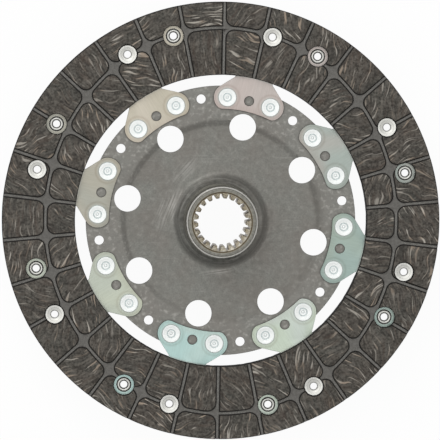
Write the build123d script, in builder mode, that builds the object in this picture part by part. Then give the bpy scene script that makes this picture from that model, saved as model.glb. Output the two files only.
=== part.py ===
from build123d import *
import os
from math import cos, radians, sin

# Rigid clutch disc: two riveted friction facings on waved spring segments, a dished
# carrier plate and a splined hub. Millimetres and degrees. The disc turns about Z, the
# flywheel-side friction face lies at z = 0, and the hub's nose points up.

# Friction facings
facing_outer_radius = 120.0
facing_inner_radius = 80.0
facing_thickness = 3.5
rivet_land = 1.2  # material left under a rivet head
groove_count = 30
groove_width = 2.0
groove_depth = 1.0
groove_phase = 5.0
ring_groove_offset = 1.0  # mean line of the ring groove, outward of the facing's middle
ring_groove_swing = 4.8  # the ring groove is an ellipse: out along Y and in along X by this
pad_corner_radius = 4.5  # at the ring groove
pad_end_radius = 0.9  # where the radial grooves run out at the facing's edges

# Facing rivets: tubular, one of each kind to a segment
facing_rivet_offset = 4.5  # rivet circle, outward of the facing's middle
rear_rivet_lag = 17.22  # behind the segment's centre line; its head is in the rear facing
front_rivet_lag = 2.34  # its head is in the front facing
tube_outer_radius = 2.6
tube_bore_radius = 1.95
head_radius = 5.1
head_height = 0.8
head_recess_radius = 3.6
head_recess_depth = 0.25
tail_radius = 4.1
tail_height = 1.1
tail_crown_radius = 3.0
head_seat_clearance = 0.2
tail_hole_clearance = 1.5
shank_clearance = 0.05

# Cushion segments: waved spring steel
segment_count = 8
segment_angle = 31.6  # centre line of the first segment
segment_thickness = 0.7
cushion_travel = 0.8  # how far the facings close up on the waves
ear_angle = 10.34
ear_radius = 7.4
foot_reach = 6.4  # foot of the segment, inward of its rivets
foot_corner_radius = 4.0
neck_half_width = 10.5
neck_lead = 1.4  # the neck turns straight this far inside the facings
neck_corner_radius = 3.0
paddle_inner_margin = 4.0  # inside the facing's edges
paddle_outer_margin = 2.0
paddle_gap_angle = 0.8  # half the gap between two paddles
paddle_corner_radius = 5.0
wave_lead = 4.0  # the waves begin this far inside the facings
wave_run = 10.0  # and are full after this run
wave_flat_half_width = 6.5
segment_hole_radius = 2.7
segment_hole_offset = 0.4  # inward of the carrier rivets

# Carrier plate: pressed sheet
carrier_thickness = 2.0
carrier_rim_gap = 6.0  # inside the facings
carrier_rivet_margin = 6.3  # rivet circle, in from the rim
dish_depth = 1.0
dish_rim_width = 19.0
dish_wall_run = 3.0
dish_bend_radius = 5.0
boss_margin = 0.6  # flat around the hub's flange
boss_wall_run = 3.0
boss_rise = 2.2
boss_bend_radius = 1.8
boss_foot_radius = 4.0
large_hole_radius = 7.3
large_hole_clearance = 1.5  # from the feet of the segments
small_hole_radius = 2.54
small_hole_margin = 6.5  # hole circle, in from the rim

# Carrier rivets: solid, flat heads both sides
carrier_rivet_radius = 2.75
carrier_head_radius = 4.9
carrier_head_height = 1.6
carrier_head_chamfer = 0.3

# Hub: internal spline for the gearbox input shaft
spline_root_radius = 15.5
spline_teeth = 21
spline_tooth_height = 2.5
spline_tooth_angle = 14.4  # centre of the first tooth
tooth_tip_width = 1.8
tooth_root_width = 3.2
tooth_tip_fillet = 0.5
lead_in_depth = 0.9
rear_lead_in_depth = 0.5
hub_wall = 4.0  # outside the spline
hub_nose_height = 25.6  # above the flywheel-side friction face
hub_chamfer = 1.1
flange_width = 2.9
flange_thickness = 2.6
flange_chamfer = 0.4
stake_width = 0.9  # bead that holds the plate down on the flange

# Radii worked out from the facings inward, and from the spline outward
facing_middle_radius = (facing_outer_radius + facing_inner_radius) / 2
ring_groove_long_radius = facing_middle_radius + ring_groove_offset + ring_groove_swing
ring_groove_short_radius = facing_middle_radius + ring_groove_offset - ring_groove_swing
facing_rivet_circle = facing_middle_radius + facing_rivet_offset
paddle_outer_radius = facing_outer_radius - paddle_outer_margin
paddle_inner_radius = facing_inner_radius + paddle_inner_margin
neck_start = facing_inner_radius - neck_lead
wave_start = facing_inner_radius - wave_lead
wave_full = wave_start + wave_run
carrier_outer_radius = facing_inner_radius - carrier_rim_gap
ear_circle = carrier_outer_radius - carrier_rivet_margin
segment_inner_radius = ear_circle - foot_reach
segment_hole_circle = ear_circle - segment_hole_offset
small_hole_circle = carrier_outer_radius - small_hole_margin
large_hole_circle = segment_inner_radius - large_hole_clearance - large_hole_radius
dish_outer_radius = carrier_outer_radius - dish_rim_width
dish_floor_outer_radius = dish_outer_radius - dish_wall_run
spline_tip_radius = spline_root_radius - spline_tooth_height
lead_in_radius = spline_root_radius + lead_in_depth
rear_lead_in_radius = spline_root_radius + rear_lead_in_depth
hub_radius = spline_root_radius + hub_wall
flange_radius = hub_radius + flange_width
boss_radius = flange_radius + boss_margin
dish_floor_inner_radius = boss_radius + boss_wall_run

# Angles worked out from the first segment
segment_pitch = 360 / segment_count
paddle_half_angle = segment_pitch / 2 - paddle_gap_angle
small_hole_angle = segment_angle - segment_pitch / 2
rear_rivet_angle = segment_angle - rear_rivet_lag
front_rivet_angle = segment_angle - front_rivet_lag
rivet_offset_angle = (rear_rivet_angle + front_rivet_angle) / 2

# Heights worked out from the stack
rear_inner_face = facing_thickness
middle_height = rear_inner_face + (segment_thickness + cushion_travel) / 2
front_inner_face = 2 * middle_height - rear_inner_face
foot_bottom = middle_height - segment_thickness / 2
foot_top = middle_height + segment_thickness / 2
carrier_bottom = foot_bottom - carrier_thickness
dish_bottom = carrier_bottom - dish_depth
boss_bottom = dish_bottom + boss_rise
boss_top = boss_bottom + carrier_thickness
hub_bottom = boss_bottom - flange_thickness
turn_over_axis = Axis(
    (0, 0, middle_height), (cos(radians(rivet_offset_angle)), sin(radians(rivet_offset_angle)), 0)
)


def polar_point(radius, angle):
    return (radius * cos(radians(angle)), radius * sin(radians(angle)))


# Front facing. Each pad stands between two radial grooves, on one side of the ring groove.
with BuildSketch() as ring_groove:
    Ellipse(ring_groove_short_radius + groove_width / 2, ring_groove_long_radius + groove_width / 2)
    Ellipse(
        ring_groove_short_radius - groove_width / 2,
        ring_groove_long_radius - groove_width / 2,
        mode=Mode.SUBTRACT,
    )

with BuildSketch() as pads:
    Circle(facing_outer_radius)
    Circle(facing_inner_radius, mode=Mode.SUBTRACT)
    add(ring_groove.sketch, mode=Mode.SUBTRACT)
    with PolarLocations(facing_middle_radius, groove_count, groove_phase):
        Rectangle(facing_outer_radius, groove_width, mode=Mode.SUBTRACT)
    ring_groove_corners = pads.vertices().filter_by(
        lambda corner: facing_inner_radius + pad_corner_radius
        < Vector(*corner).length
        < facing_outer_radius - pad_corner_radius
        and abs(corner.X) > groove_width  # leaves out the ends of the ellipse itself
    )
    pad_end_corners = pads.vertices().filter_by(
        lambda corner: not (
            facing_inner_radius + pad_corner_radius
            < Vector(*corner).length
            < facing_outer_radius - pad_corner_radius
        )
    )
    fillet(ring_groove_corners, pad_corner_radius)
    fillet(pad_end_corners, pad_end_radius)

with BuildPart() as front_facing:
    with BuildSketch(Plane.XY.offset(front_inner_face)):
        Circle(facing_outer_radius)
        Circle(facing_inner_radius, mode=Mode.SUBTRACT)
    extrude(amount=facing_thickness - groove_depth)
    with BuildSketch(Plane.XY.offset(front_inner_face + facing_thickness - groove_depth)):
        add(pads.sketch)
    extrude(amount=groove_depth)
    with Locations((0, 0, front_inner_face + facing_thickness)):
        with PolarLocations(facing_rivet_circle, segment_count, front_rivet_angle):
            CounterBoreHole(
                tube_outer_radius + shank_clearance,
                head_radius + head_seat_clearance,
                facing_thickness - rivet_land,
            )
        with PolarLocations(facing_rivet_circle, segment_count, rear_rivet_angle):
            Hole(tail_radius + tail_hole_clearance)

# Rear facing: the same moulding turned over, so its holes trade places.
with BuildPart() as rear_facing:
    add(front_facing.part.rotate(turn_over_axis, 180))

# Facing rivets. The head seats on the land, the tail is rolled over the segment.
with BuildPart() as facing_rivet:
    head_seat = front_inner_face + rivet_land
    tail_seat = front_inner_face - segment_thickness
    with BuildSketch(Plane.XZ):
        with BuildLine():
            Polyline(
                (tube_bore_radius, head_seat + head_height - head_recess_depth),
                (head_recess_radius - head_recess_depth, head_seat + head_height - head_recess_depth),
                (head_recess_radius, head_seat + head_height),
                (head_radius, head_seat + head_height),
                (head_radius, head_seat),
                (tube_outer_radius, head_seat),
                (tube_outer_radius, tail_seat),
                (tail_radius, tail_seat),
                (tail_radius, tail_seat - tail_height / 2),
                (tail_crown_radius, tail_seat - tail_height),
                (tube_bore_radius, tail_seat - tail_height / 2),
                close=True,
            )
        make_face()
    revolve(axis=Axis.Z)

with BuildPart() as front_facing_rivets:
    with PolarLocations(facing_rivet_circle, segment_count, front_rivet_angle):
        add(facing_rivet.part)

with BuildPart() as rear_facing_rivets:
    add(front_facing_rivets.part.rotate(turn_over_axis, 180))


# Cushion segment, made with its centre line along X.
def wave_section(rise):
    """Section across a segment: flats that touch the rear, front and rear facing in turn."""
    rear_flat = facing_rivet_circle * sin(radians(rear_rivet_angle - segment_angle))
    front_flat = facing_rivet_circle * sin(radians(front_rivet_angle - segment_angle))
    far_flat = 2 * front_flat - rear_flat
    half_span = paddle_outer_radius * sin(radians(paddle_half_angle)) + segment_thickness
    centre_line = [(-half_span, -rise)]
    for flat, height in ((rear_flat, -rise), (front_flat, rise), (far_flat, -rise)):
        if flat != rear_flat:
            centre_line.append((flat - wave_flat_half_width, height))
        centre_line.append((flat + wave_flat_half_width, height))
    centre_line.append((half_span, 0))
    lower = [(y, middle_height + z - segment_thickness / 2) for y, z in centre_line]
    upper = [(y, middle_height + z + segment_thickness / 2) for y, z in centre_line]
    return lower + upper[::-1]


with BuildSketch() as segment_outline:
    with Locations(polar_point(ear_circle, ear_angle), polar_point(ear_circle, -ear_angle)):
        Circle(ear_radius)
    with Locations((neck_start, 0)):
        Rectangle(segment_thickness, 2 * neck_half_width, align=(Align.MAX, Align.CENTER))
    make_hull(segment_outline.edges())
    Circle(segment_inner_radius, mode=Mode.SUBTRACT)
    foot_corners = segment_outline.vertices().group_by(SortBy.DISTANCE)[0]
    fillet(foot_corners, foot_corner_radius)
    with Locations((neck_start - segment_thickness, 0)):
        Rectangle(
            paddle_outer_radius - paddle_corner_radius - neck_start,
            2 * neck_half_width,
            align=(Align.MIN, Align.CENTER),
        )
    with BuildLine():
        inner_arc = CenterArc((0, 0), paddle_inner_radius, -paddle_half_angle, 2 * paddle_half_angle)
        outer_arc = CenterArc((0, 0), paddle_outer_radius, -paddle_half_angle, 2 * paddle_half_angle)
        Line(inner_arc @ 0, outer_arc @ 0)
        Line(inner_arc @ 1, outer_arc @ 1)
    make_face()
    paddle_inner_corners = segment_outline.vertices().filter_by(
        lambda corner: abs(Vector(*corner).length - paddle_inner_radius) < segment_thickness
    )
    fillet(paddle_inner_corners, neck_corner_radius)
    paddle_outer_corners = segment_outline.vertices().group_by(SortBy.DISTANCE)[-1]
    fillet(paddle_outer_corners, paddle_corner_radius)

with BuildPart() as segment_blank:
    for distance, rise in (
        (segment_inner_radius - ear_radius, 0),
        (wave_start, 0),
        (wave_full, cushion_travel / 2),
        (paddle_outer_radius + segment_thickness, cushion_travel / 2),
    ):
        with BuildSketch(Plane.YZ.offset(distance)):
            with BuildLine():
                Polyline(*wave_section(rise), close=True)
            make_face()
    loft(ruled=True)
    with BuildSketch():
        add(segment_outline.sketch)
    extrude(amount=front_inner_face, mode=Mode.INTERSECT)
    with Locations(
        polar_point(ear_circle, ear_angle),
        polar_point(ear_circle, -ear_angle),
    ):
        Hole(carrier_rivet_radius + shank_clearance)
    with Locations((segment_hole_circle, 0)):
        Hole(segment_hole_radius)
    with Locations(
        polar_point(facing_rivet_circle, rear_rivet_angle - segment_angle),
        polar_point(facing_rivet_circle, front_rivet_angle - segment_angle),
    ):
        Hole(tube_outer_radius + shank_clearance)

# Carrier rivet, on the Z axis
with BuildPart() as carrier_rivet:
    with BuildSketch(Plane.XZ):
        with BuildLine():
            Polyline(
                (0, carrier_bottom - carrier_head_height),
                (carrier_head_radius, carrier_bottom - carrier_head_height),
                (carrier_head_radius, carrier_bottom),
                (carrier_rivet_radius, carrier_bottom),
                (carrier_rivet_radius, foot_top),
                (carrier_head_radius, foot_top),
                (carrier_head_radius, foot_top + carrier_head_height - carrier_head_chamfer),
                (carrier_head_radius - carrier_head_chamfer, foot_top + carrier_head_height),
                (0, foot_top + carrier_head_height),
                close=True,
            )
        make_face()
    revolve(axis=Axis.Z)

# Carrier plate: a flat rim, a shallow dish and a centre raised to the hub flange
with BuildPart() as carrier_plate:
    with BuildSketch(Plane.XZ):
        with BuildLine():
            bend_points = (
                (hub_radius, boss_bottom),
                (boss_radius, boss_bottom),
                (dish_floor_inner_radius, dish_bottom),
                (dish_floor_outer_radius, dish_bottom),
                (dish_outer_radius, carrier_bottom),
                (carrier_outer_radius, carrier_bottom),
            )
            bend_radii = (boss_bend_radius, boss_foot_radius, dish_bend_radius, dish_bend_radius)
            lower = FilletPolyline(*bend_points, radius=bend_radii)
            upper = FilletPolyline(
                *[(r, z + carrier_thickness) for r, z in bend_points], radius=bend_radii
            )
            Line(lower @ 0, upper @ 0)
            Line(lower @ 1, upper @ 1)
        make_face()
    revolve(axis=Axis.Z)
    with PolarLocations(large_hole_circle, segment_count, segment_angle):
        Hole(large_hole_radius)
    with PolarLocations(small_hole_circle, segment_count, small_hole_angle):
        Hole(small_hole_radius)
    for side in (-ear_angle, ear_angle):
        with PolarLocations(ear_circle, segment_count, segment_angle + side):
            Hole(carrier_rivet_radius + shank_clearance)

# Hub. The lead-in chamfers cut back the ends of the spline teeth.
with BuildSketch() as spline_tooth:
    with BuildLine():
        Polyline(
            (spline_tip_radius, -tooth_tip_width / 2),
            (spline_root_radius, -tooth_root_width / 2),
            (hub_radius, -tooth_root_width / 2),
            (hub_radius, tooth_root_width / 2),
            (spline_root_radius, tooth_root_width / 2),
            (spline_tip_radius, tooth_tip_width / 2),
            close=True,
        )
    make_face()
    tooth_tip_corners = spline_tooth.vertices().group_by(Axis.X)[0]
    fillet(tooth_tip_corners, tooth_tip_fillet)

with BuildSketch() as spline_bore:
    Circle(spline_root_radius)
    with PolarLocations(0, spline_teeth, spline_tooth_angle):
        add(spline_tooth.sketch, mode=Mode.SUBTRACT)

with BuildPart() as hub:
    with BuildSketch(Plane.XZ):
        with BuildLine():
            Polyline(
                (0, hub_bottom),
                (flange_radius - flange_chamfer, hub_bottom),
                (flange_radius, hub_bottom + flange_chamfer),
                (flange_radius, boss_bottom),
                (hub_radius, boss_bottom),
                (hub_radius, boss_top),
                (hub_radius + stake_width, boss_top),
                (hub_radius, boss_top + stake_width),
                (hub_radius, hub_nose_height - hub_chamfer),
                (hub_radius - hub_chamfer, hub_nose_height),
                (0, hub_nose_height),
                close=True,
            )
        make_face()
    revolve(axis=Axis.Z)
    with BuildSketch(Plane.XY.offset(hub_bottom)):
        add(spline_bore.sketch)
    extrude(amount=hub_nose_height - hub_bottom, mode=Mode.SUBTRACT)
    with BuildSketch(Plane.XZ):
        Polygon(
            (0, hub_nose_height),
            (lead_in_radius, hub_nose_height),
            (0, hub_nose_height - lead_in_radius),
            align=None,
        )
        Polygon(
            (0, hub_bottom),
            (rear_lead_in_radius, hub_bottom),
            (0, hub_bottom + rear_lead_in_radius),
            align=None,
        )
    revolve(axis=Axis.Z, mode=Mode.SUBTRACT)

os.makedirs("parts", exist_ok=True)
pieces = {
    "front_facing": front_facing.part,
    "rear_facing": rear_facing.part,
    "front_facing_rivets": front_facing_rivets.part,
    "rear_facing_rivets": rear_facing_rivets.part,
    "carrier_plate": carrier_plate.part,
    "hub": hub.part,
}
for number in range(segment_count):
    turn = segment_angle + number * segment_pitch
    with BuildPart() as segment:
        add(segment_blank.part, rotation=(0, 0, turn))
    with BuildPart() as segment_rivets:
        with Locations(
            (*polar_point(ear_circle, turn - ear_angle), 0), (*polar_point(ear_circle, turn + ear_angle), 0)
        ):
            add(carrier_rivet.part)
    pieces[f"segment_{number + 1}"] = segment.part
    pieces[f"segment_rivets_{number + 1}"] = segment_rivets.part

for name, piece in pieces.items():
    piece.label = name
    export_step(piece, f"parts/{name}.step")
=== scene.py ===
from math import cos, pi, radians, sin

import bmesh
import bpy
from mathutils import Matrix, Vector


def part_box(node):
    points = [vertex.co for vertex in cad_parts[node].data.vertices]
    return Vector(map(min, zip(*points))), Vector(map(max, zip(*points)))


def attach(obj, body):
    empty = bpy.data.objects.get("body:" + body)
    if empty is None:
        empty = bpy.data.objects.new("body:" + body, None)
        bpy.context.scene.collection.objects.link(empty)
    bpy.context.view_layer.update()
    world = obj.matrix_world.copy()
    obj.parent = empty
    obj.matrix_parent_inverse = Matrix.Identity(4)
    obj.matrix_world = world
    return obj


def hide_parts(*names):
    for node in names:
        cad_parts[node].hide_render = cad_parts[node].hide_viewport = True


# A rigid clutch disc, lying on its flywheel side with the hub's nose up. Metres, Z up.

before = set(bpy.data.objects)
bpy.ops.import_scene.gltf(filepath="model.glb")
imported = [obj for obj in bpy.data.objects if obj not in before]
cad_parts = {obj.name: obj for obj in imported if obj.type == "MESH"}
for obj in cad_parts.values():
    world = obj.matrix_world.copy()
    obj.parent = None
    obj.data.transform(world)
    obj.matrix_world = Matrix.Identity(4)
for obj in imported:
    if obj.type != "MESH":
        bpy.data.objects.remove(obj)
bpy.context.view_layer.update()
MM = 0.001

# Sizes shared with the frame's pieces, in millimetres and degrees
SEGMENTS = 8
SEGMENT_PITCH = 360 / SEGMENTS
SEGMENT_ANGLE = 31.6
SEGMENT_INNER_RADIUS = 61.5
SEGMENT_THICKNESS = 0.7
EAR_CIRCLE = 67.7
EAR_ANGLE = 10.34
FOOT_TOP = 4.6

FACING_RIVET_CIRCLE = 104.5
FRONT_RIVET_ANGLE = 29.26
REAR_RIVET_ANGLE = 14.38
FRONT_INNER_FACE = 5.0
RIVET_LAND = 1.2

MIDDLE_HEIGHT = 4.25
GROOVE_FLOOR = 3.25  # each way from the middle height
PAD_FACE = 4.25  # each way from the middle height
GROOVE_PITCH = 12.0
GROOVE_PHASE = 5.0
RING_GROOVE_X = 96.2
RING_GROOVE_Y = 105.8

CARRIER_BOTTOM = 1.9
DISH_RIM_RADIUS = 55.0
DISH_FLOOR_RADIUS = 52.0
BOSS_FOOT_RADIUS = 27.0
BOSS_RADIUS = 23.0
HUB_RADIUS = 19.5
HUB_NOSE_HEIGHT = 25.6
SPLINE_ROOT_RADIUS = 15.5
CARRIER_HEAD_RADIUS = 4.9


def linear(code):
    """An sRGB hex colour as the linear colour that a shader works in."""
    channels = [int(code[i : i + 2], 16) / 255 for i in (1, 3, 5)]
    return [c / 12.92 if c <= 0.04045 else ((c + 0.055) / 1.055) ** 2.4 for c in channels] + [1.0]


# Materials ---------------------------------------------------------------------------


def add(tree, kind, *inputs, **settings):
    """Adds a node with its settings, fills its open inputs in order, and gives its first output.

    An input is a number, a vector, a hex colour, a socket to link, or None to leave it alone.
    """
    node = tree.nodes.new("ShaderNode" + kind)
    for name, value in settings.items():
        setattr(node, name, value)
    open_inputs = [socket for socket in node.inputs if socket.enabled]
    for socket, value in zip(open_inputs, inputs):
        if isinstance(value, bpy.types.NodeSocket):
            tree.links.new(value, socket)
        elif isinstance(value, str):
            socket.default_value = linear(value)
        elif value is not None:
            socket.default_value = value
    return next(socket for socket in node.outputs if socket.enabled)


def new_material(name, finish):
    """A named material, its tree, its shader and the place on the piece in millimetres."""
    material = bpy.data.materials.new(name)
    material.use_nodes = True
    tree = material.node_tree
    surface = tree.nodes["Principled BSDF"]
    for socket, value in finish.items():
        surface.inputs[socket].default_value = value
    coords = add(tree, "TexCoord").node.outputs["Object"]
    place = add(tree, "VectorMath", coords, 1 / MM, operation="SCALE")
    return material, tree, surface, place


def surfaced(tree, surface, colour, relief=None, strength=0.0, depth=0.0):
    """Gives a shader its colour, and a relief of a depth in millimetres."""
    tree.links.new(colour, surface.inputs["Base Color"])
    if relief is not None:
        bump = add(tree, "Bump", strength, depth * MM, None, relief)
        tree.links.new(bump, surface.inputs["Normal"])


def coats(tree, ground, *laid_on):
    """Colours laid over a ground in turn, each by an amount and a share of it, 1 for all of it."""
    for amount, share, colour in laid_on:
        if share != 1:
            amount = add(tree, "Math", amount, share, operation="MULTIPLY")
        ground = add(tree, "Mix", amount, ground, colour, data_type="RGBA")
    return ground


def grains(tree, place, size, detail, low, high, stretch=(1, 1, 1), ends=(0.0, 1.0), fade="LINEAR"):
    """Amount of a grain of a size in millimetres, stretched along an axis where asked.

    It goes from one end to the other as the noise rises from low to high.
    """
    drawn = add(tree, "VectorMath", place, stretch, operation="DIVIDE")
    noise = add(tree, "TexNoise", drawn, 1 / size, detail)
    return add(tree, "MapRange", noise, low, high, *ends, interpolation_type=fade)


def distance_from_axis(tree, place):
    """How far a point lies from the disc's axis, in millimetres."""
    flat = add(tree, "VectorMath", place, (1, 1, 0), operation="MULTIPLY")
    return add(tree, "VectorMath", flat, operation="LENGTH")


def crevice(tree, reach, low, high, local=True):
    """0 in a corner or a gap, rising to 1 in the open; reach is in millimetres."""
    near = add(tree, "AmbientOcclusion", None, reach * MM, samples=8, only_local=local)
    return add(tree, "MapRange", near.node.outputs["AO"], low, high)


def slope(tree, low, high):
    """How far a surface leans from flat, from its normal: 1 on a wall, 0 on a face."""
    normal = add(tree, "NewGeometry").node.outputs["True Normal"]
    upright = add(tree, "SeparateXYZ", normal).node.outputs["Z"]
    upright = add(tree, "Math", upright, operation="ABSOLUTE")
    return add(tree, "MapRange", upright, low, high, 1.0, 0.0)


def scuff_and_sheen(tree, place, middle, turn, length, width):
    """Amount of a streaky mark, for scuffs and for painted sheen: fine scratches one way, within a
    soft oval about a point.
    """
    through_the_sheet = 1000
    parted = add(tree, "VectorMath", place, (*middle, 0), operation="SUBTRACT")
    along = add(tree, "VectorRotate", parted, None, -radians(turn), rotation_type="Z_AXIS")
    half_sizes = (length, width, through_the_sheet)
    oval = add(tree, "VectorMath", along, half_sizes, operation="DIVIDE")
    reach = add(tree, "VectorMath", oval, operation="LENGTH")
    within = add(tree, "MapRange", reach, 0.2, 1.0, 1.0, 0.0, interpolation_type="SMOOTHSTEP")
    streaks = grains(tree, along, 0.9, 1.5, 0.42, 0.68, (14, 1, 14))
    return add(tree, "Math", streaks, within, operation="MULTIPLY")


def pad_number(tree, place):
    """A number of its own for each pad that the moulded grooves leave: by angle, and in or out."""
    x, y, _ = add(tree, "SeparateXYZ", place).node.outputs
    turn = add(tree, "Math", y, x, operation="ARCTAN2")
    turn = add(tree, "Math", turn, 180 / pi / GROOVE_PITCH, operation="MULTIPLY")
    turn = add(tree, "Math", turn, GROOVE_PHASE / GROOVE_PITCH, operation="SUBTRACT")
    turn = add(tree, "Math", turn, operation="FLOOR")
    turn = add(tree, "Math", turn, 360 / GROOVE_PITCH, operation="FLOORED_MODULO")
    flat = add(tree, "CombineXYZ", x, y)
    oval = add(tree, "VectorMath", flat, (RING_GROOVE_X, RING_GROOVE_Y, 1), operation="DIVIDE")
    reach = add(tree, "VectorMath", oval, operation="LENGTH")
    outer = add(tree, "Math", reach, 1.0, operation="GREATER_THAN")
    twice = add(tree, "Math", turn, 2.0, operation="MULTIPLY")
    return add(tree, "Math", twice, outer, operation="ADD")


def laid_by_pad(tree, place):
    """Place turned to the way the yarn lies in each pad, with a slow bend along the strands."""
    bend_length = 11.0
    bend = 7.5
    pads_apart = 500.0
    sway = add(tree, "TexNoise", place, 1 / bend_length, 0.5).node.outputs["Color"]
    sway = add(tree, "VectorMath", sway, bend, operation="SCALE")
    swayed = add(tree, "VectorMath", place, sway, operation="ADD")
    own = add(tree, "TexWhiteNoise", pad_number(tree, place), noise_dimensions="1D")
    angle = add(tree, "Math", own, pi, operation="MULTIPLY")
    laid = add(tree, "VectorRotate", swayed, None, angle, rotation_type="Z_AXIS")
    apart = add(tree, "VectorMath", own.node.outputs["Color"], pads_apart, operation="SCALE")
    return add(tree, "VectorMath", laid, apart, operation="ADD")


def yarn_strands(tree, laid, length, width, low, high, shift):
    """Amount of yarn showing: short strands of a length and width in millimetres.

    Low and high set how much of it breaks the surface; shift parts one layer of yarn from another.
    """
    drawn = add(tree, "VectorMath", laid, (length, width, length), operation="DIVIDE")
    drawn = add(tree, "VectorMath", drawn, (shift, 0, 0), operation="ADD")
    strands = add(tree, "TexNoise", drawn, 1.0, 0.6)
    return add(tree, "MapRange", strands, low, high)


def woven_friction_material():
    """Wound yarn and rubbery resin, cured in a mould and ground flat.

    The ground pads are dull and nearly black, with the grey and tan ends of the yarn showing, more
    of it in some pads than in others. The grooves keep the mould's skin: plain grey resin, paler
    where they are narrow, with painted shade dark on their walls and eased edges and black in their
    corners.
    """
    finish = {"Roughness": 0.8, "Specular IOR Level": 0.25}
    material, tree, surface, place = new_material("woven_friction_material", finish)
    laid = laid_by_pad(tree, place)
    # the grit is drawn 1.2 mm across, coarser than it is, so that it shows
    grain = grains(tree, place, 1.2, 4.0, 0.3, 0.72)
    cloud = grains(tree, place, 13.0, 2.0, 0.35, 0.65)
    cool = add(tree, "Mix", grain, "#2F2E2A", "#5C5A54", data_type="RGBA")
    warm = add(tree, "Mix", grain, "#34302B", "#5F5952", data_type="RGBA")
    resin = add(tree, "Mix", cloud, cool, warm, data_type="RGBA")

    fleck = grains(tree, place, 2.4, 3.0, 0.42, 0.66)
    sunk = yarn_strands(tree, laid, 8.0, 1.4, 0.5, 0.66, shift=7.0)
    russet = yarn_strands(tree, laid, 12.0, 1.8, 0.58, 0.72, shift=29.0)
    dull = yarn_strands(tree, laid, 7.0, 1.3, 0.54, 0.7, shift=53.0)
    pale = yarn_strands(tree, laid, 9.0, 1.05, 0.612, 0.725, shift=71.0)
    hue = grains(tree, place, 8.0, 0.0, 0.45, 0.6)
    yarn = add(tree, "Mix", hue, "#B8B2A8", "#A39484", data_type="RGBA")
    second_draw = 300.5  # parts this random number from the one that turns the yarn
    own = add(tree, "Math", pad_number(tree, place), second_draw, operation="ADD")
    own = add(tree, "TexWhiteNoise", own, noise_dimensions="1D")
    bared = add(tree, "MapRange", own, 0.0, 1.0, 0.35, 0.95)
    ground = coats(
        tree,
        resin,
        (fleck, 0.4, "#75716A"),
        (sunk, 0.45, "#2B2826"),
        (russet, 0.3, "#5A4C43"),
        (dull, 0.3, "#79726A"),
        (pale, bared, yarn),
    )

    skin = add(tree, "Mix", grain, "#62605C", "#73716D", data_type="RGBA")
    pinched = add(tree, "Mix", grain, "#A6A49E", "#BDBBB5", data_type="RGBA")
    skin = add(tree, "Mix", crevice(tree, 3.0, 0.55, 0.8), pinched, skin, data_type="RGBA")
    height = add(tree, "SeparateXYZ", place).node.outputs["Z"]
    from_middle = add(tree, "Math", height, MIDDLE_HEIGHT, operation="SUBTRACT")
    from_middle = add(tree, "Math", from_middle, operation="ABSOLUTE")
    on_wall = add(tree, "MapRange", from_middle, GROOVE_FLOOR + 0.05, GROOVE_FLOOR + 0.2)
    on_pad = add(tree, "MapRange", from_middle, PAD_FACE - 0.13, PAD_FACE - 0.03)
    # painted shade: the groove walls are darkened, and the eased edges more so the steeper they
    # lean
    colour = coats(
        tree,
        skin,
        (on_wall, 1, "#24211F"),
        (on_pad, 1, ground),
        (slope(tree, 0.9, 0.98), 1, "#171513"),
    )
    # painted shade: black in the corners
    colour = add(tree, "Mix", crevice(tree, 1.1, 0.6, 0.92), "#171513", colour, data_type="RGBA")
    relief = add(tree, "Math", pale, grain, operation="ADD")
    surfaced(tree, surface, colour, relief, 0.3, 0.1)
    return material


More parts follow.
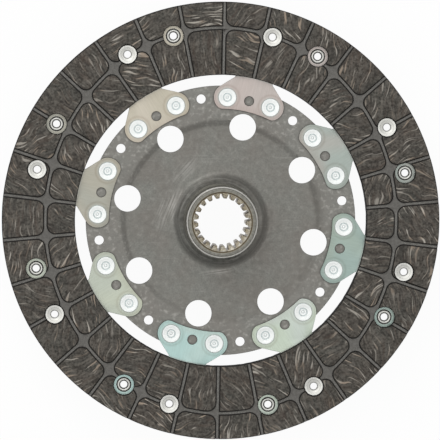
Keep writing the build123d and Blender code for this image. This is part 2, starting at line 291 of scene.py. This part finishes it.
def phosphated_pressed_steel():
    """Sheet pressed to shape and phosphated: an even grey crystal coat over the metal.

    The coat is mottled, rubbed lighter on the rim and scratched by handling, and two scuffed
    patches near the hub also carry a painted sheen. Painted shade darkens it around the hub,
    heaviest toward -Y, where the tool has also left faint rings, and painted shade lies along one
    side of the dish's step. Steep faces, cut edges and deep gaps get painted shade, but the
    underside does not.
    """
    finish = {"Metallic": 0.7}
    material, tree, surface, place = new_material("phosphated_pressed_steel", finish)
    radius = distance_from_axis(tree, place)
    x, y, _ = add(tree, "SeparateXYZ", place).node.outputs
    # the crystals are drawn 0.9 mm across, coarser than they are, so that they show
    crystal = grains(tree, place, 0.9, 4.0, 0.3, 0.7)
    coat = add(tree, "Mix", crystal, "#73736E", "#81817B", data_type="RGBA")

    stain = grains(tree, place, 16.0, 3.0, 0.35, 0.65)
    rim_start, rim_end = DISH_FLOOR_RADIUS - 2, DISH_RIM_RADIUS + 5
    on_rim = add(tree, "MapRange", radius, rim_start, rim_end, interpolation_type="SMOOTHSTEP")
    rubbed = grains(tree, place, 2.2, 6.0, 0.53, 0.7)
    rub_share = add(tree, "Math", on_rim, 0.38, operation="MULTIPLY")
    rub_share = add(tree, "Math", rub_share, 0.12, operation="ADD")
    scratch = grains(tree, place, 1.0, 1.0, 0.68, 0.76, (26, 0.45, 26))

    # painted shade of the hub lies heaviest toward -Y and thins out toward +X
    painted_hub_shade = add(tree, "MapRange", y, -22, -8, 0.9, 0.65)
    thinned = add(tree, "MapRange", x, 10, 22, 1.0, 0.4)
    blotched = grains(tree, place, 2.6, 4.0, 0.3, 0.7, ends=(0.7, 1.15))
    painted_hub_shade = add(tree, "Math", painted_hub_shade, thinned, operation="MULTIPLY")
    painted_hub_shade = add(tree, "Math", painted_hub_shade, blotched, operation="MULTIPLY")
    hub_shade_start, hub_shade_end = HUB_RADIUS + 1.5, HUB_RADIUS + 7.0
    by_hub = add(
        tree, "MapRange", radius, hub_shade_start, hub_shade_end, 1.0, 0.0, interpolation_type="SMOOTHSTEP"
    )
    swept = add(tree, "CombineXYZ", radius, x, y)
    worn_rings = grains(tree, swept, 0.9, 1.5, 0.5, 0.7, (1, 16, 16))
    ring_share = add(tree, "MapRange", radius, HUB_RADIUS + 4.5, HUB_RADIUS + 8.5, 0.24, 0.0)

    step_in = add(tree, "MapRange", radius, DISH_FLOOR_RADIUS - 1.5, DISH_FLOOR_RADIUS + 1)
    step_out = add(tree, "MapRange", radius, DISH_RIM_RADIUS - 1, DISH_RIM_RADIUS + 2.5, 1.0, 0.0)
    in_step = add(tree, "Math", step_in, step_out, operation="MULTIPLY")
    lean = add(tree, "VectorMath", place, (1, -0.8, 0), operation="DOT_PRODUCT")
    step_shade_share = add(tree, "MapRange", lean, 5, 40, 0.0, 0.45)
    past_boss = add(tree, "MapRange", radius, BOSS_RADIUS, BOSS_FOOT_RADIUS)
    edge = add(tree, "Mix", past_boss, "#686762", "#3F3E3B", data_type="RGBA")
    coat = coats(
        tree,
        coat,
        (stain, 0.5, "#756F69"),
        (on_rim, 0.25, "#8B8984"),
        (rubbed, rub_share, "#B3B1AB"),
        (scratch, 0.25, "#A9A7A2"),
        # the first two marks are painted sheen where the boss catches the light, broken by scuffs;
        # the third is scuffing
        (scuff_and_sheen(tree, place, (-28, 6), turn=68, length=17, width=8), 0.8, "#A5A39E"),
        (scuff_and_sheen(tree, place, (-20, 27), turn=48, length=13, width=6), 0.55, "#A5A39E"),
        (scuff_and_sheen(tree, place, (-3, -28.5), turn=8, length=13, width=2.2), 0.6, "#B3B1AB"),
        # painted shade around the hub
        (painted_hub_shade, by_hub, "#383834"),
        (worn_rings, ring_share, "#A5A39E"),
        # painted shade along one side of the dish's step
        (in_step, step_shade_share, "#5A5853"),
        # painted shade on steep faces and cut edges, darker past the boss
        (slope(tree, 0.3, 0.65), 1, edge),
    )

    normal = add(tree, "NewGeometry").node.outputs["True Normal"]
    upright = add(tree, "SeparateXYZ", normal).node.outputs["Z"]
    facing_down = add(tree, "MapRange", upright, -0.2, -0.1, 1.0, 0.0)
    # painted shade in gaps and beside other parts, left off faces that look down
    gap = crevice(tree, 1.6, 0.4, 0.95, local=False)
    open_air = add(tree, "Math", gap, facing_down, operation="MAXIMUM")
    painted_corner_shade = add(tree, "Mix", past_boss, "#5F5E59", "#42403D", data_type="RGBA")
    coat = add(tree, "Mix", open_air, painted_corner_shade, coat, data_type="RGBA")
    surfaced(tree, surface, coat, crystal, 0.25, 0.02)
    dull = grains(tree, place, 2.4, 4.0, 0.3, 0.7, ends=(0.4, 0.55))
    tree.links.new(dull, surface.inputs["Roughness"])
    return material


def turned_hub_steel():
    """Forged steel turned on a lathe: fine rings on the faces, burnished at its corner and foot.

    The broached spline has a bronze film of oil, with painted shade on its steep flanks, and
    painted shade darkens the inner corners.
    """
    finish = {"Metallic": 1.0, "Roughness": 0.36}
    material, tree, surface, place = new_material("turned_hub_steel", finish)
    radius = distance_from_axis(tree, place)
    height = add(tree, "SeparateXYZ", place).node.outputs["Z"]
    across = add(tree, "CombineXYZ", radius, None, height)
    # tool marks are drawn 0.6 mm apart, coarser than they are, so that they show
    rings = grains(tree, across, 0.6, 2.0, 0.35, 0.65)
    mottle = grains(tree, place, 1.5, 4.0, 0.4, 0.62)
    skin = add(tree, "Mix", rings, "#6E6D67", "#8E8C84", data_type="RGBA")
    skin = coats(tree, skin, (mottle, 0.6, "#5C5B55"))
    film = add(tree, "Mix", mottle, "#DACFB8", "#FBF7EA", data_type="RGBA")

    past_spline = add(tree, "MapRange", radius, SPLINE_ROOT_RADIUS + 0.3, SPLINE_ROOT_RADIUS + 0.6)
    on_face = add(tree, "MapRange", radius, SPLINE_ROOT_RADIUS + 1.1, SPLINE_ROOT_RADIUS + 1.4)
    low_down = add(tree, "MapRange", height, 6.0, 20.0, 1.0, 0.0)
    foot = add(tree, "Math", slope(tree, 0.68, 0.95), low_down, operation="MULTIPLY")
    outside = add(tree, "MapRange", radius, HUB_RADIUS - 0.3, HUB_RADIUS - 0.1)
    at_corner = add(tree, "MapRange", radius, HUB_RADIUS - 0.9, HUB_RADIUS - 0.6)
    at_nose = add(tree, "MapRange", height, HUB_NOSE_HEIGHT - 1.6, HUB_NOSE_HEIGHT - 1.3)
    colour = coats(
        tree,
        film,
        # painted shade on the spline's steep flanks
        (slope(tree, 0.2, 0.45), 1, "#7D7261"),
        (past_spline, 1, "#615848"),
        (on_face, 1, skin),
        (foot, outside, "#C9C7BE"),
        (at_corner, at_nose, "#EAE8E2"),
    )
    from_bore = add(tree, "MapRange", radius, HUB_RADIUS - 0.9, HUB_RADIUS - 0.5)
    painted_corner_shade = add(tree, "Mix", from_bore, "#3F382B", "#8A887F", data_type="RGBA")
    # painted shade in the inner corners: brown on the face and in the spline, grey outside
    colour = add(tree, "Mix", crevice(tree, 1.2, 0.4, 0.88), painted_corner_shade, colour, data_type="RGBA")
    surfaced(tree, surface, colour, rings, 0.3, 0.03)
    return material


def tempered_spring_steel(number, tint, second_tint):
    """Rolled spring strip after tempering: satin, with the thin oxide colour of its own heat.

    It is a little darker along its inner edge and pressed dull around its two rivets, and painted
    shade darkens it in gaps beside other parts.
    """
    finish = {"Metallic": 1.0, "Roughness": 0.42}
    material, tree, surface, place = new_material(f"tempered_spring_steel_{number}", finish)
    turn = radians(SEGMENT_ANGLE + (number - 1) * SEGMENT_PITCH)
    along = add(tree, "VectorRotate", place, None, -turn, rotation_type="Z_AXIS")
    # rolling marks are drawn 0.5 mm apart, coarser than they are, so that they show
    rolled = grains(tree, along, 0.5, 2.0, 0.3, 0.7, (12, 1, 12))
    drift = grains(tree, along, 24.0, 1.0, 0.36, 0.62, fade="SMOOTHSTEP")
    colour = add(tree, "Mix", drift, tint, second_tint, data_type="RGBA")
    shade = add(tree, "Mix", 1.0, colour, "#F4F4F3", data_type="RGBA", blend_type="MULTIPLY")
    colour = add(tree, "Mix", rolled, shade, colour, data_type="RGBA")

    x, y, _ = add(tree, "SeparateXYZ", along).node.outputs
    folded = add(tree, "CombineXYZ", x, add(tree, "Math", y, operation="ABSOLUTE"))
    ear = (EAR_CIRCLE * cos(radians(EAR_ANGLE)), EAR_CIRCLE * sin(radians(EAR_ANGLE)), 0)
    from_rivet = add(tree, "VectorMath", folded, ear, operation="DISTANCE")
    ring_start, ring, ring_end = (CARRIER_HEAD_RADIUS + gap for gap in (0.8, 1.7, 2.7))
    clear_of_head = add(tree, "MapRange", from_rivet, ring_start, ring)
    fading = add(tree, "MapRange", from_rivet, ring, ring_end, 0.5, 0.0)
    dulled = add(tree, "Math", clear_of_head, fading, operation="MULTIPLY")
    radius = distance_from_axis(tree, place)
    inner = add(
        tree, "MapRange", radius, SEGMENT_INNER_RADIUS, SEGMENT_INNER_RADIUS + 4.5, 0.35, 0.0
    )
    darkened = add(tree, "Math", dulled, inner, operation="MAXIMUM")
    darker = add(tree, "Mix", 1.0, colour, "#DCD5D1", data_type="RGBA", blend_type="MULTIPLY")
    colour = add(tree, "Mix", darkened, colour, darker, data_type="RGBA")
    # painted shade in gaps beside other parts
    gap = crevice(tree, 1.2, 0.4, 0.9, local=False)
    colour = add(tree, "Mix", gap, "#B2B3AD", colour, data_type="RGBA")
    surfaced(tree, surface, colour, rolled, 0.12, 0.01)
    return material


def zinc_plated_rivet_steel(name, dark, light, shade, punched=(0, 0)):
    """Cold-headed steel, zinc plated: even and pale on its flats, with painted shade on the die's
    steep steps.

    Painted shade darkens it where it curls under and in tight corners, and it is duller between two
    heights, where a punch has pressed it in.
    """
    finish = {"Metallic": 0.6, "Roughness": 0.45}
    material, tree, surface, place = new_material(name, finish)
    mottle = grains(tree, place, 1.4, 2.0, 0.3, 0.7)
    colour = add(tree, "Mix", mottle, dark, light, data_type="RGBA")
    height = add(tree, "SeparateXYZ", place).node.outputs["Z"]
    above = add(tree, "Math", height, punched[0], operation="GREATER_THAN")
    below = add(tree, "Math", height, punched[1], operation="LESS_THAN")
    pressed = add(tree, "Math", above, below, operation="MULTIPLY")
    # the punched ring is duller, and the steep steps get painted shade
    colour = coats(tree, colour, (pressed, 0.5, shade), (slope(tree, 0.75, 0.97), 1, shade))
    # painted shade in tight corners and under the curl
    colour = add(tree, "Mix", crevice(tree, 0.8, 0.35, 0.85), "#6F7271", colour, data_type="RGBA")
    surfaced(tree, surface, colour)
    return material


# Pieces ------------------------------------------------------------------------------

WELD = 0.002 * MM  # points nearer than this are one
FLAT = radians(0.4)  # faces that meet flatter than this are one
CORNER = radians(35)  # edges sharper than this are eased


def new_piece(name, form):
    """A scene object from a bmesh, with its place in its mesh."""
    mesh = bpy.data.meshes.new(name)
    form.to_mesh(mesh)
    form.free()
    piece = bpy.data.objects.new(name, mesh)
    bpy.context.scene.collection.objects.link(piece)
    return piece


def finished(piece, node, material, smooth=30):
    """Every piece rides the one body, stands for its node and shades smooth up to an angle."""
    piece.data.materials.clear()
    piece.data.materials.append(material)
    for face in piece.data.polygons:
        face.use_smooth = True
    piece.data.set_sharp_from_angle(angle=radians(smooth))
    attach(piece, "root")
    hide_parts(node)


def eased_copy(node, name, ease, clamp=False):
    """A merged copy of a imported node, its sharp edges eased as a press or mould leaves them."""
    form = bmesh.new()
    form.from_mesh(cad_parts[node].data)
    bmesh.ops.remove_doubles(form, verts=form.verts, dist=WELD)
    bmesh.ops.dissolve_limit(form, angle_limit=FLAT, verts=form.verts, edges=form.edges)
    bmesh.ops.triangulate(form, faces=form.faces)
    piece = new_piece(name, form)
    bevel = piece.modifiers.new("eased_edges", "BEVEL")
    bevel.width = ease * MM
    bevel.segments = 2
    bevel.limit_method = "ANGLE"
    bevel.use_clamp_overlap = clamp
    bevel.loop_slide = False
    bevel.angle_limit = CORNER
    return piece


def turned(outline, steps=64):
    """A turned shape on the Z axis from its outline of (radius, height) points in millimetres."""
    form = bmesh.new()
    points = [form.verts.new((radius * MM, 0, height * MM)) for radius, height in outline]
    edges = [form.edges.new(pair) for pair in zip(points, points[1:])]
    bmesh.ops.spin(
        form,
        geom=points + edges,
        cent=(0, 0, 0),
        axis=(0, 0, 1),
        angle=2 * pi,
        steps=steps,
        use_merge=True,
    )
    bmesh.ops.remove_doubles(form, verts=form.verts, dist=WELD)
    bmesh.ops.recalc_face_normals(form, faces=form.faces)
    return form


def seated(points, seat):
    """Points of (radius, rise) as points of (radius, height) on a seat."""
    return [(radius, seat + rise) for radius, rise in points]


def set_out(form, circle, angles):
    """Repeats a shape that stands on the Z axis at each angle of a circle."""
    pattern = form.verts[:] + form.edges[:] + form.faces[:]
    for angle in angles:
        copy = bmesh.ops.duplicate(form, geom=pattern)
        verts = [item for item in copy["geom"] if isinstance(item, bmesh.types.BMVert)]
        shift = Vector((cos(radians(angle)), sin(radians(angle)), 0)) * circle * MM
        bmesh.ops.translate(form, verts=verts, vec=shift)
    standing = [item for item in pattern if isinstance(item, bmesh.types.BMVert)]
    bmesh.ops.delete(form, geom=standing, context="VERTS")
    return form


# Facings
friction = woven_friction_material()
for side in ("front", "rear"):
    facing = eased_copy(f"{side}_facing", f"{side}_facing_moulding", ease=0.4)
    finished(facing, f"{side}_facing", friction)

# Carrier plate and hub
carrier = eased_copy("carrier_plate", "carrier_pressing", ease=0.4, clamp=True)
finished(carrier, "carrier_plate", phosphated_pressed_steel())
hub = eased_copy("hub", "hub_turning", ease=0.25, clamp=True)
finished(hub, "hub", turned_hub_steel())

# Cushion segments, each with the oxide colours of its own tempering
TINTS = (
    ("#ABA8A2", "#A0A9A3"),
    ("#B6ABA6", "#B5ADA8"),
    ("#BEB7AA", "#B6B0A1"),
    ("#A0A198", "#A7A498"),
    ("#BCC1B1", "#B3B9AD"),
    ("#BACEC9", "#ACC6C2"),
    ("#C3CBC6", "#BDC8B9"),
    ("#A0AEA4", "#9AABA5"),
)
for number, (tint, second_tint) in enumerate(TINTS, 1):
    segment = eased_copy(f"segment_{number}", f"spring_segment_{number}", ease=0.12)
    steel = tempered_spring_steel(number, tint, second_tint)
    finished(segment, f"segment_{number}", steel)

# Carrier rivets: a flat factory head below, and above it a head closed by a ring punch
FACTORY_HEAD = (
    (0, -1.6),
    (4.7, -1.6),
    (CARRIER_HEAD_RADIUS, -1.4),
    (CARRIER_HEAD_RADIUS, 0),
    (2.75, 0),
)
PUNCHED_HEAD = (
    (2.75, 0),
    (4.85, 0),
    (CARRIER_HEAD_RADIUS, 0.1),
    (CARRIER_HEAD_RADIUS, 1.45),
    (4.84, 1.54),
    (4.75, 1.6),
    (3.7, 1.6),
    (3.4, 1.53),
    (2.45, 1.52),
    (2.2, 1.34),
    (1.9, 1.34),
    (1.75, 1.48),
    (1.0, 1.5),
    (0.75, 1.42),
    (0.55, 1.52),
    (0, 1.54),
)
carrier_rivet = seated(FACTORY_HEAD, CARRIER_BOTTOM) + seated(PUNCHED_HEAD, FOOT_TOP)
punched = (FOOT_TOP + 1.2, FOOT_TOP + 1.47)
# the last colour dulls the punched ring and is the painted shade on the steep steps
rivet_steel = zinc_plated_rivet_steel(
    "satin_zinc_plated_steel", "#E9EDEB", "#F2F4F2", "#BCCBCB", punched
)
for number in range(1, SEGMENTS + 1):
    turn = SEGMENT_ANGLE + (number - 1) * SEGMENT_PITCH
    form = set_out(turned(carrier_rivet), EAR_CIRCLE, (turn - EAR_ANGLE, turn + EAR_ANGLE))
    rivets = new_piece(f"carrier_rivets_{number}", form)
    finished(rivets, f"segment_rivets_{number}", rivet_steel)

# Facing rivets: a ringed head on the land, and a tail curled over the segment
TUBE_HEAD = (
    (1.95, 0),
    (2.1, 0.3),
    (2.45, 0.52),
    (3.5, 0.6),
    (3.9, 0.78),
    (4.95, 0.8),
    (5.06, 0.72),
    (5.1, 0.55),
    (5.1, 0.1),
    (5.0, 0),
    (2.6, 0),
)
CURLED_TAIL = (
    (2.6, 0),
    (4.0, 0),
    (4.1, -0.12),
    (3.92, -0.55),
    (3.55, -0.9),
    (3.25, -1.07),
    (2.95, -1.1),
    (2.65, -1.04),
    (2.4, -0.85),
    (2.05, -0.45),
    (1.95, -0.2),
)
head = seated(TUBE_HEAD, FRONT_INNER_FACE + RIVET_LAND)
tail = seated(CURLED_TAIL, FRONT_INNER_FACE - SEGMENT_THICKNESS)
facing_rivet = head + tail + head[:1]
# the last colour is the painted shade on the steep steps
tube_steel = zinc_plated_rivet_steel("bright_zinc_plated_steel", "#DFDFD9", "#E9E8E2", "#7B7B77")
for side, first_angle in (("front", FRONT_RIVET_ANGLE), ("rear", REAR_RIVET_ANGLE)):
    form = turned(facing_rivet)
    if side == "rear":
        middle = (0, 0, MIDDLE_HEIGHT * MM)
        half_turn = Matrix.Rotation(pi, 3, "X")
        bmesh.ops.rotate(form, verts=form.verts, cent=middle, matrix=half_turn)
    angles = [first_angle + number * SEGMENT_PITCH for number in range(SEGMENTS)]
    rivets = new_piece(f"{side}_tubular_rivets", set_out(form, FACING_RIVET_CIRCLE, angles))
    finished(rivets, f"{side}_facing_rivets", tube_steel)


# Stage -------------------------------------------------------------------------------

FLOOR_DROP = 20.0 * MM
FLOOR_REACH = 3.0
FLOOR_GLOW = 0.95
WORLD_LIGHT = 0.5

FRAME_HALF = 120.52 * MM  # half the view's width at the front facing
CAMERA_DISTANCE = 3.0
SENSOR = 36.0
TILT_LEFT = 2.5
TILT_UP = 2.9
AIM = (-0.55 * MM, 0.5 * MM)

floor_form = bmesh.new()
floor_place = Matrix.Translation((0, 0, -FLOOR_DROP))
bmesh.ops.create_grid(floor_form, x_segments=1, y_segments=1, size=FLOOR_REACH, matrix=floor_place)
floor = new_piece("pale_floor", floor_form)

# White paper: it glows to the camera and in reflections, keeps the disc's shadow, and is clear
# from below
finish = {"Base Color": linear("#FBFBFA"), "Roughness": 0.9}
floor_material, tree, paper, _ = new_material("white_paper", finish)
rays = add(tree, "LightPath").node.outputs
seen = add(tree, "Math", rays["Is Camera Ray"], rays["Is Glossy Ray"], operation="MAXIMUM")
seen = add(tree, "Math", seen, rays["Is Transmission Ray"], operation="MAXIMUM")
glow_share = add(tree, "Math", seen, FLOOR_GLOW, operation="MULTIPLY")
lit = add(tree, "MixShader", glow_share, paper.outputs[0], add(tree, "Emission", "#FFFFFF", 1.0))
from_below = add(tree, "NewGeometry").node.outputs["Backfacing"]
both = add(tree, "MixShader", from_below, lit, add(tree, "BsdfTransparent"))
tree.links.new(both, tree.nodes["Material Output"].inputs["Surface"])
floor.data.materials.append(floor_material)

world = bpy.data.worlds.new("studio_tent")
bpy.context.scene.world = world
world.use_nodes = True
tent = world.node_tree.nodes["Background"]
tent.inputs["Color"].default_value = linear("#FFFFFF")
tent.inputs["Strength"].default_value = WORLD_LIGHT


def soft_lamp(name, place, aim, size, power):
    """A square soft box that faces a point."""
    light = bpy.data.lights.new(name, "AREA")
    light.shape = "SQUARE"
    light.size = size
    light.energy = power
    lamp = bpy.data.objects.new(name, light)
    lamp.location = place
    lamp.rotation_euler = (Vector(aim) - Vector(place)).to_track_quat("-Z", "Y").to_euler()
    bpy.context.scene.collection.objects.link(lamp)


soft_lamp("overhead_softbox", (-0.3, 0.45, 1.6), (-0.3, 0.45, 0), size=1.8, power=11.0)
soft_lamp("key_softbox", (-0.5, 1.15, 1.0), (0, 0, 0), size=0.7, power=5.5)

target = Vector((*AIM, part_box("front_facing")[1].z))
offset = Vector((-sin(radians(TILT_LEFT)), sin(radians(TILT_UP)), 1)).normalized() * CAMERA_DISTANCE
back = offset.normalized()
camera_data = bpy.data.cameras.new("camera")
camera_data.sensor_width = SENSOR
camera_data.lens = SENSOR / 2 * CAMERA_DISTANCE / FRAME_HALF
camera = bpy.data.objects.new("camera", camera_data)
camera.location = target + offset
right = Vector((0, 1, 0)).cross(back).normalized()
camera.rotation_euler = Matrix((right, back.cross(right), back)).transposed().to_euler()
bpy.context.scene.collection.objects.link(camera)
bpy.context.scene.camera = camera
bpy.context.scene.view_settings.view_transform = "Standard"
